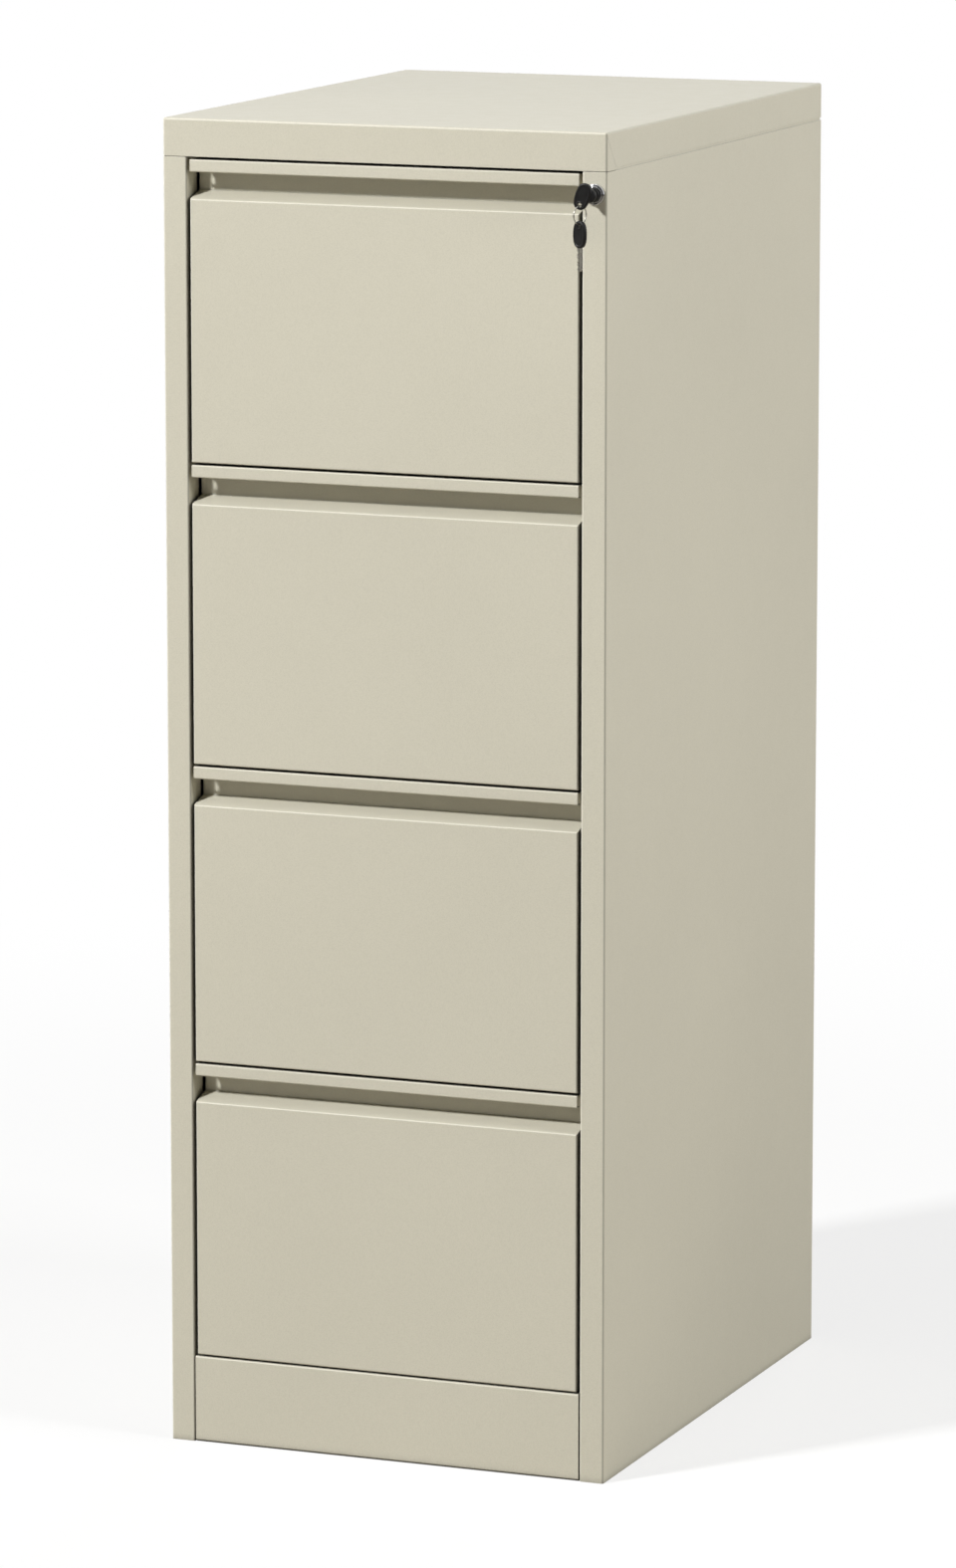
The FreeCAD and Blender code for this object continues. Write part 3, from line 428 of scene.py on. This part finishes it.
def guide_nylon():
    """Natural nylon: slightly waxy and a little uneven in tone."""
    finish = Finish("guide_nylon")
    finish.set(Subsurface_Weight=0.15, Subsurface_Radius=(0.002, 0.0016, 0.001))
    finish.connect(Base_Color=finish.mottled(NYLON, size=0.006, detail=3.0, low=0.95, high=1.02),
                   Roughness=finish.between(finish.noise(size=0.003, detail=2.0), low=0.38, high=0.5),
                   Normal=finish.bump(finish.noise(size=0.0008, detail=2.0), depth=0.00001))
    return finish.material


finishes = {
    "cabinet_paint": powder_coat(),
    "zinc_steel": zinc_plate(),
    "lock_chrome": chrome_plate(),
    "key_steel": nickel_steel(),
    "black_plastic": black_plastic(),
    "rubber": buffer_rubber(),
    "guide_plastic": guide_nylon(),
}


def paint_nodes():
    """Each carried-over piece gets the finish of its slot in the record."""
    for subpart in frame["record"]["subparts"]:
        mesh = frame["nodes"][subpart["node"]].data
        mesh.materials.clear()
        mesh.materials.append(finishes[subpart["material_slot"]])


def skin(name, loops, closed=False):
    """Mesh through a row of closed loops of equal count. Its ends are joined to each other or filled."""
    mesh = bmesh.new()
    rows = [[mesh.verts.new(point) for point in loop] for loop in loops]
    count = len(rows[0])
    for first, second in zip(rows, rows[1:] + rows[:1] if closed else rows[1:]):
        for i in range(count):
            j = (i + 1) % count
            mesh.faces.new((first[i], first[j], second[j], second[i]))
    if not closed:
        mesh.faces.new(rows[0])
        mesh.faces.new(rows[-1])
    bmesh.ops.remove_doubles(mesh, verts=mesh.verts, dist=WELD)
    bmesh.ops.recalc_face_normals(mesh, faces=mesh.faces)
    data = bpy.data.meshes.new(name)
    mesh.to_mesh(data)
    mesh.free()
    piece = bpy.data.objects.new(name, data)
    bpy.context.scene.collection.objects.link(piece)
    return piece


def dressed(piece, material_slot, body, *replaced, sharp_angle=SHARP_ANGLE):
    """Gives a new piece its finish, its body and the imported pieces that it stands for."""
    piece.data.materials.append(finishes[material_slot])
    piece.data.shade_smooth()
    piece.data.set_sharp_from_angle(angle=math.radians(sharp_angle))
    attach(piece, body)
    if replaced:
        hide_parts(*replaced)
    return piece


def shadowless(piece):
    """The hanging keys throw no shadow on the post, as in the photograph."""
    piece.visible_shadow = False


def circle(radius, count):
    """Pairs for count points round a circle."""
    angles = (2 * math.pi * i / count for i in range(count))
    return [(radius * math.cos(angle), radius * math.sin(angle)) for angle in angles]


def turned(profile, centre):
    """Loops of a round piece about the lock's axis, from (distance in front of the post, radius) pairs."""
    return [[centre + Vector((x, -front, z)) * MM
             for x, z in circle(max(radius, TURNED_LEAST_RADIUS), TURNED_SEGMENTS)]
            for front, radius in profile]


def lock_axis():
    """Point where the lock's axis meets the front of the post."""
    low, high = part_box("lock_barrel")
    return Vector(((low.x + high.x) / 2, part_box("right_side_panel")[0].y, (low.z + high.z) / 2))


def thread_loop(back, axis):
    """Section of the housing's thread at a distance behind the post: one start, a V in each pitch."""
    loop = []
    for i, (x, z) in enumerate(circle(1.0, TURNED_SEGMENTS)):
        phase = (back / THREAD_PITCH - i / TURNED_SEGMENTS) % 1.0
        radius = BARREL_RADIUS - THREAD_DEPTH * abs(2 * phase - 1)
        loop.append(axis + Vector((radius * x, back, radius * z)) * MM)
    return loop


def lock_housing():
    """Chromed housing: two polished rims round the plug, and a threaded body behind the post."""
    axis = lock_axis()
    length = (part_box("lock_barrel")[1].y - axis.y) / MM
    threaded = length - 2 * THREAD_START
    bore = HOUSING_FRONT[-1][1]
    count = int(threaded / THREAD_PITCH * THREAD_STEPS)
    loops = turned(HOUSING_FRONT, axis)
    loops += turned(((-length, bore), (-length, BARREL_RADIUS - THREAD_DEPTH)), axis)
    loops += [thread_loop(length - THREAD_START - threaded * step / count, axis) for step in range(count + 1)]
    loops += turned(((-THREAD_START / 2, BARREL_RADIUS), (0.0, BARREL_RADIUS)), axis)
    dressed(skin("lock_housing", loops, closed=True), "lock_chrome", "cabinet", "lock_barrel",
            sharp_angle=TURNED_SHARP_ANGLE)


def smooth_step(value, low, high):
    """0 up to low, 1 from high on, and a smooth rise between them."""
    t = min(1.0, max(0.0, (value - low) / (high - low)))
    return t * t * (3.0 - 2.0 * t)


def round_drop(inside, radius):
    """How far a rounded edge lies below its face, at a distance inside the edge."""
    return radius - math.sqrt(max(0.0, radius ** 2 - (radius - inside) ** 2))


def bow_height(to_edge, to_hole):
    """Half thickness of the moulded bow: rounded rim, shallow oval recess, raised eyelet round the hole."""
    half = BOW_SHEET / 2
    height = half - (BOW_RECESS * smooth_step(to_edge, BOW_RIM, BOW_RIM + BOW_STEP)
                     * smooth_step(to_hole, BOW_EYELET, BOW_EYELET + BOW_STEP))
    if to_edge < BOW_EDGE:
        height = half - round_drop(to_edge, BOW_EDGE)
    if to_hole < BOW_HOLE_EDGE:
        height = min(height, half - round_drop(to_hole, BOW_HOLE_EDGE))
    return height


def bow_outline(point):
    """Below 1 inside the bow's outline, which is an oval with slightly flattened sides."""
    return (abs(2 * point.x / BOW_WIDTH) ** BOW_SQUARENESS
            + abs(2 * point.z / BOW_LENGTH) ** BOW_SQUARENESS)


def bow_reach(along):
    """Distance from the hole to the outline, in the direction along."""
    hole = Vector((0.0, 0.0, -BOW_HOLE_OFFSET))
    low, high = 0.0, BOW_LENGTH
    for _ in range(REACH_HALVINGS):
        middle = (low + high) / 2
        low, high = (middle, high) if bow_outline(hole + along * middle) < 1 else (low, middle)
    return low


def bow_outward(edge):
    """Unit vector out of the outline at one of its points."""
    power = BOW_SQUARENESS - 1
    x = math.copysign(abs(2 * edge.x / BOW_WIDTH) ** power / BOW_WIDTH, edge.x)
    z = math.copysign(abs(2 * edge.z / BOW_LENGTH) ** power / BOW_LENGTH, edge.z)
    return Vector((x, 0.0, z)).normalized()


def bow_loops(place):
    """Sections of the bow along rays from its hole, in the XZ plane with the hole at its lower end."""
    loops = []
    for x, z in circle(1.0, BOW_RAYS):
        along = Vector((x, 0.0, z))
        reach = bow_reach(along)
        slant = along.dot(bow_outward(along * reach - Vector((0.0, 0.0, BOW_HOLE_OFFSET))))
        profile = []
        for step in range(RAY_STEPS + 1):
            share = 0.5 - 0.5 * math.cos(math.pi * step / RAY_STEPS)
            r = BOW_HOLE_RADIUS + (reach - BOW_HOLE_RADIUS) * share
            profile.append((r, bow_height((reach - r) * slant, r - BOW_HOLE_RADIUS)))
        ring = [along * r + Vector((0.0, -h, -BOW_HOLE_OFFSET)) for r, h in profile]
        ring += [along * r + Vector((0.0, h, -BOW_HOLE_OFFSET)) for r, h in reversed(profile)]
        loops.append([place @ (point * MM) for point in ring])
    return loops


def tooth_cut(y):
    """Depth of the cuts in the blade's lower edge at a distance from its root."""
    for i, depth in enumerate(TOOTH_CUTS):
        away = abs(y - SHOULDER - TOOTH_PITCH * (i + 0.5)) - TOOTH_FLAT / 2
        if away < depth:
            return depth - max(0.0, away)
    return 0.0


def blade_loops(length, place):
    """Sections of a key blade along +Y: cut teeth on its lower edge, a milled groove on each face."""
    half_t, half_w = BLADE_SHEET / 2, BLADE_WIDTH / 2
    loops = []
    for y in [-BLADE_ROOT] + [i * BLADE_STEP for i in range(int(length / BLADE_STEP) + 1)]:
        tip = max(0.0, y - (length - half_w * TIP_REACH)) * TIP_SLOPE
        low = -half_w + max(tooth_cut(y), tip)
        high = half_w - tip
        groove_low = max(GROOVE_LOW, low + BLADE_EDGE * 2)
        groove_high = min(GROOVE_LOW + GROOVE_WIDTH, high - BLADE_EDGE * 2)
        depth = GROOVE_DEPTH if groove_high - groove_low > 4 * BLADE_EDGE else 0.0
        side = [(half_t - BLADE_EDGE, low), (half_t, low + BLADE_EDGE), (half_t, groove_low),
                (half_t - depth, groove_low + BLADE_EDGE), (half_t - depth, groove_high - BLADE_EDGE),
                (half_t, groove_high), (half_t, high - BLADE_EDGE), (half_t - BLADE_EDGE, high)]
        section = side + [(-t, w) for t, w in reversed(side)]
        loops.append([place @ (Vector((t, y, w)) * MM) for t, w in section])
    return loops


def key_in_lock(axis, bow_centre):
    """Neck on the lock's axis, the bow beside it, the pin between them and the blade in the plug."""
    lean = Matrix.Translation(bow_centre) @ Matrix.Rotation(math.radians(BOW_LEAN), 4, "Y")
    shadowless(dressed(skin("key_grip", bow_loops(lean), closed=True), "black_plastic", "key", "key_bow"))
    dressed(skin("key_neck", turned(NECK_PROFILE, axis)), "black_plastic", "key",
            sharp_angle=TURNED_SHARP_ANGLE)

    pivot = Vector((axis.x + PIVOT_RIGHT * MM, bow_centre.y + PIVOT_BACK * MM, axis.z))
    end, narrow = PIVOT_LENGTH / 2, PIVOT_RADIUS - PIVOT_CHAMFER
    profile = ((-end, narrow), (PIVOT_CHAMFER - end, PIVOT_RADIUS),
               (end - PIVOT_CHAMFER, PIVOT_RADIUS), (end, narrow))
    loops = [[pivot + Vector((x, y, z)) * MM for x, y in circle(radius, PIVOT_SEGMENTS)]
             for z, radius in profile]
    shadowless(dressed(skin("key_pivot", loops), "key_steel", "key"))

    plug_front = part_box("key_blade")[0].y + BLADE_ROOT * MM
    seat = Matrix.Translation(Vector((axis.x, plug_front, axis.z)))
    dressed(skin("key_shank", blade_loops(BLADE_IN_PLUG, seat)), "key_steel", "key", "key_blade")


def key_ring(turn):
    """Ring of round wire, which stands turned a little to the post."""
    low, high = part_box("key_ring")
    centre = (low + high) / 2
    side = turn @ Vector((1.0, 0.0, 0.0))
    loop_radius = (high.z - low.z) / 2 - WIRE_RADIUS * MM
    loops = []
    for y, z in circle(1.0, RING_SEGMENTS):
        out = turn @ Vector((0.0, y, z))
        loops.append([centre + out * (loop_radius + outward) + side * sideways
                      for outward, sideways in circle(WIRE_RADIUS * MM, WIRE_SEGMENTS)])
    shadowless(dressed(skin("key_wire_ring", loops, closed=True), "key_steel", "key_ring", "key_ring"))


def spare_key(bow_centre, turn):
    """Bow and blade that hang from the ring's lowest point."""
    hole_x = bow_centre.x - BOW_HOLE_OFFSET * MM * math.sin(math.radians(BOW_LEAN))
    centre_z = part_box("key_ring")[0].z + (WIRE_RADIUS - SPARE_HANG - BOW_HOLE_OFFSET) * MM
    hang = Matrix.Translation(Vector((hole_x, bow_centre.y, centre_z))) @ turn
    hole_up = hang @ Matrix.Rotation(math.pi, 4, "Y")
    shadowless(dressed(skin("spare_key_grip", bow_loops(hole_up), closed=True),
                       "black_plastic", "spare_key", "spare_key_bow"))
    down = (hang @ Matrix.Translation(Vector((0.0, 0.0, -BOW_LENGTH / 2 * MM)))
            @ Matrix.Rotation(math.radians(-90.0), 4, "X") @ Matrix.Rotation(math.radians(90.0), 4, "Y"))
    shadowless(dressed(skin("spare_key_shank", blade_loops(BLADE_LENGTH, down)),
                       "key_steel", "spare_key", "spare_key_blade"))


def keys():
    """The key in the lock, the wire ring and the spare key."""
    axis = lock_axis()
    bow_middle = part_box("key_bow")[0].y + BOW_SHEET / 2 * MM
    bow_centre = Vector((axis.x - BOW_SIDE_SHIFT * MM, bow_middle, axis.z + BOW_RISE * MM))
    turn = Matrix.Rotation(math.radians(-RING_TURN), 4, "Z")
    key_in_lock(axis, bow_centre)
    key_ring(turn)
    spare_key(bow_centre, turn)


def floor():
    """Plain pale floor with the cabinet's shadow. Away from the cabinet it fades into the white backdrop."""
    bpy.ops.mesh.primitive_circle_add(vertices=FLOOR_SEGMENTS, radius=FLOOR_RADIUS, fill_type="NGON")
    piece = bpy.context.object
    piece.name = "studio_floor"
    finish = Finish("floor_white")
    finish.set(Roughness=0.9, Specular_IOR_Level=0.1)
    seen = finish.add("ShaderNodeLightPath").outputs["Is Camera Ray"]
    tone = finish.add("ShaderNodeMix", data_type="RGBA")
    tone.inputs[6].default_value = linear(FLOOR_BOUNCE)
    tone.inputs[7].default_value = linear(FLOOR_SEEN)
    finish.link(seen, tone.inputs[0])
    finish.connect(Base_Color=tone.outputs[2])
    away = finish.add("ShaderNodeVectorMath", operation="LENGTH")
    finish.link(finish.place, away.inputs[0])
    share = finish.add("ShaderNodeMath", operation="MULTIPLY")
    finish.link(seen, share.inputs[0])
    fade = finish.mapped(away.outputs["Value"], *FLOOR_FADE, FLOOR_GLOW, 1.0, "SMOOTHSTEP")
    finish.link(fade, share.inputs[1])
    glow = finish.add("ShaderNodeEmission").outputs[0]
    surface = finish.shader_mix(share.outputs[0], finish.shader.outputs[0], glow)
    finish.link(surface, finish.nodes["Material Output"].inputs["Surface"])
    piece.data.materials.append(finish.material)


def world():
    """Weak even light all round. The camera sees white; mirrors see white with a darker studio in front."""
    studio = bpy.data.worlds.new("studio")
    bpy.context.scene.world = studio
    tree = Tree(studio)
    ambient = tree.nodes["Background"]
    white, mirrored = (tree.add("ShaderNodeBackground") for _ in range(2))
    for background, strength in ((ambient, AMBIENT), (white, BACKDROP), (mirrored, BACKDROP)):
        background.inputs["Strength"].default_value = strength
        background.inputs["Color"].default_value = (1.0, 1.0, 1.0, 1.0)
    direction = tree.add("ShaderNodeSeparateXYZ")
    tree.link(tree.add("ShaderNodeTexCoord").outputs["Generated"], direction.inputs[0])
    front = tree.mapped(direction.outputs["Y"], *STUDIO_FRONT, STUDIO_DARK, 1.0, "SMOOTHSTEP")
    tree.link(front, mirrored.inputs["Color"])
    path = tree.add("ShaderNodeLightPath")
    either = tree.add("ShaderNodeMath", operation="MAXIMUM")
    tree.link(path.outputs["Is Glossy Ray"], either.inputs[0])
    tree.link(path.outputs["Is Transmission Ray"], either.inputs[1])
    lit = tree.shader_mix(either.outputs[0], ambient.outputs[0], mirrored.outputs[0])
    surface = tree.shader_mix(path.outputs["Is Camera Ray"], lit, white.outputs[0])
    tree.link(surface, tree.nodes["World Output"].inputs["Surface"])


def lamps():
    """Square lamps that the camera doesn't see."""
    for name, lamp in LAMPS.items():
        azimuth, elevation = math.radians(lamp["azimuth"]), math.radians(lamp["elevation"])
        towards = Vector((math.cos(elevation) * math.sin(azimuth), -math.cos(elevation) * math.cos(azimuth),
                          math.sin(elevation)))
        data = bpy.data.lights.new(name, "AREA")
        data.size = lamp["size"]
        data.energy = lamp["power"]
        light = bpy.data.objects.new(name, data)
        light.location = Vector(LAMP_TARGET) + towards * lamp["distance"]
        light.rotation_euler = (-towards).to_track_quat("-Z", "Y").to_euler()
        light.visible_camera = False
        light.visible_glossy = name not in DULL_LAMPS
        bpy.context.scene.collection.objects.link(light)


def camera():
    """The photograph's view."""
    data = bpy.data.cameras.new("photo_camera")
    data.sensor_width = SENSOR
    data.lens = FOCAL_PX / PHOTO_TALL * SENSOR
    view = bpy.data.objects.new("photo_camera", data)
    view.location = CAMERA_PLACE
    view.rotation_euler = (math.radians(90.0 - CAMERA_DOWN), 0.0, math.radians(CAMERA_TURN))
    bpy.context.scene.collection.objects.link(view)
    bpy.context.scene.camera = view


paint_nodes()
lock_housing()
keys()
floor()
world()
lamps()
camera()
bpy.context.scene.view_settings.view_transform = "Standard"
